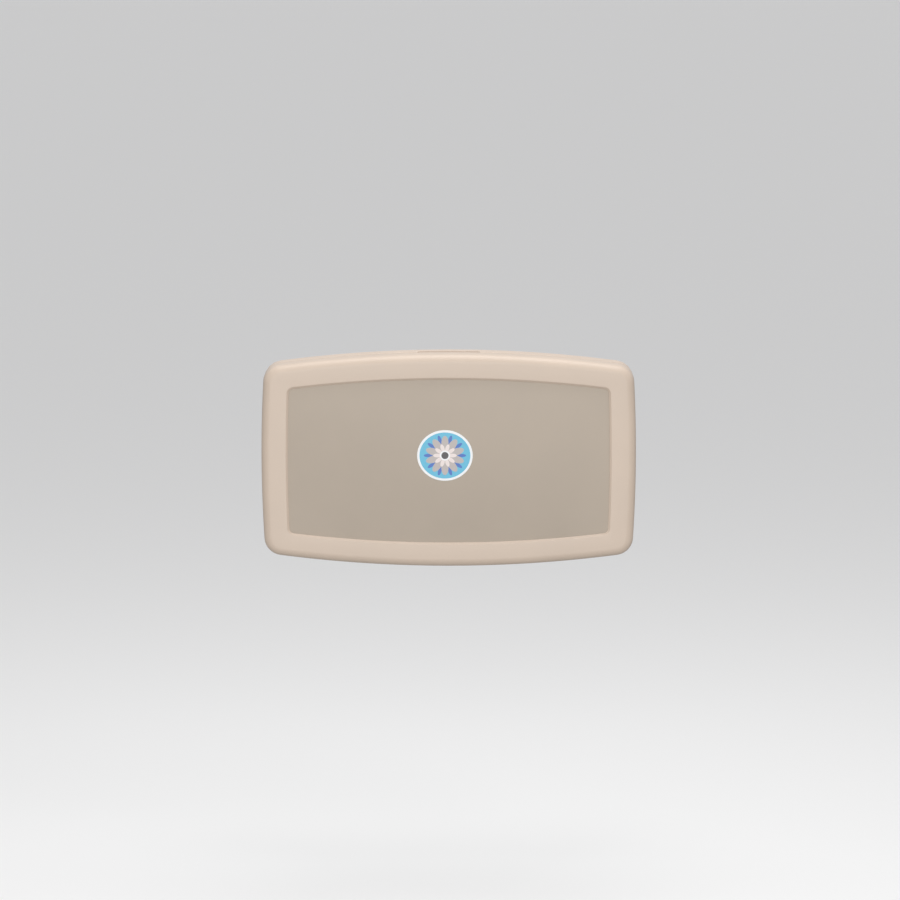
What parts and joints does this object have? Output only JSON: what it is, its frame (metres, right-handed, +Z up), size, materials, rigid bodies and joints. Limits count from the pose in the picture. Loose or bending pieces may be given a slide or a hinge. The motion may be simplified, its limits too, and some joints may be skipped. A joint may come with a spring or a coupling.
{
  "type": "wall-mounted baby changing station",
  "caption": "Horizontal fold-down changing station: bowed shell with an inlay panel, concave bed on a full-length hinge, gas spring, strap, hooks and liner dispenser.",
  "frame": {"origin": "centre of the outline on the back face of the wall plate, in the plane of the wall", "axes": "+X along the width, to the right as seen from the front; +Y into the wall, so the front faces -Y; +Z up"},
  "size_m": [0.892, 0.102, 0.511],
  "materials": {
    "shell_plastic": "moulded satin, sand beige",
    "panel_plastic": "fine matt taupe inlay",
    "label_plastic": "printed oval plaque with a white border",
    "sheet_steel": "zinc plated sheet",
    "bright_steel": "bright plated",
    "spring_paint": "black enamel",
    "bumper_rubber": "dull black",
    "fitting_plastic": "grey moulded",
    "button_plastic": "red moulded",
    "strap_webbing": "grey woven webbing"
  },
  "bodies": {
    "wall_unit": {"rear_housing": "shell_plastic", "wall_plate": "sheet_steel", "hinge_leaf_wall": "sheet_steel", "gas_bracket_upper": "sheet_steel", "gas_bracket_lower": "sheet_steel", "standoff_1": "sheet_steel", "standoff_2": "sheet_steel", "standoff_3": "sheet_steel", "standoff_4": "sheet_steel", "hinge_rod": "bright_steel", "rod_cap_left": "bright_steel", "rod_cap_right": "bright_steel", "gas_nut": "bright_steel", "housing_screw_1": "bright_steel", "housing_screw_2": "bright_steel", "housing_screw_3": "bright_steel", "housing_screw_4": "bright_steel", "gas_cylinder": "spring_paint", "bumper_1": "bumper_rubber", "bumper_2": "bumper_rubber", "bumper_3": "bumper_rubber", "bumper_4": "bumper_rubber", "bag_hook_left": "fitting_plastic", "bag_hook_right": "fitting_plastic", "dispenser_bin": "fitting_plastic", "cover_rail_left": "fitting_plastic", "cover_rail_right": "fitting_plastic", "cover_stop": "fitting_plastic"},
    "bed": {"bed_shell": "shell_plastic", "front_panel": "panel_plastic", "front_label": "label_plastic", "bed_tray": "shell_plastic", "hinge_leaf_bed": "sheet_steel", "crank_lever": "sheet_steel", "bed_arm_left": "sheet_steel", "bed_arm_right": "sheet_steel", "strap_front": "strap_webbing", "strap_rear": "strap_webbing", "strap_front_bar": "bright_steel", "strap_rear_bar": "bright_steel", "buckle_socket": "fitting_plastic", "buckle_tongue": "fitting_plastic"},
    "gas_plunger": {"gas_rod": "bright_steel", "plunger_foot": "sheet_steel"},
    "liner_cover": {"dispenser_cover": "shell_plastic"},
    "buckle_button": {"buckle_button": "button_plastic"}
  },
  "joints": [
    {"name": "bed_fold", "type": "hinge", "parent": "wall_unit", "child": "bed", "pos_m": [0, -0.05, -0.212], "axis": [1, 0, 0], "range_deg": [0, 90], "stiffness_Nm_per_rad": 2, "springref_deg": -68.75},
    {"name": "gas_plunger_slide", "type": "slide", "parent": "wall_unit", "child": "gas_plunger", "axis": [0, 0, 1], "range_m": [0, 0.032]},
    {"name": "liner_cover_slide", "type": "slide", "parent": "wall_unit", "child": "liner_cover", "axis": [0, 0, 1], "range_m": [0, 0.1]},
    {"name": "buckle_button_press", "type": "slide", "parent": "bed", "child": "buckle_button", "axis": [0, -1, 0], "range_m": [0, 0.0025], "stiffness_N_per_m": 400}
  ],
  "couplings": [
    {"joint": "gas_plunger_slide", "follows": "bed_fold", "m_per_rad": 0.02035}
  ]
}
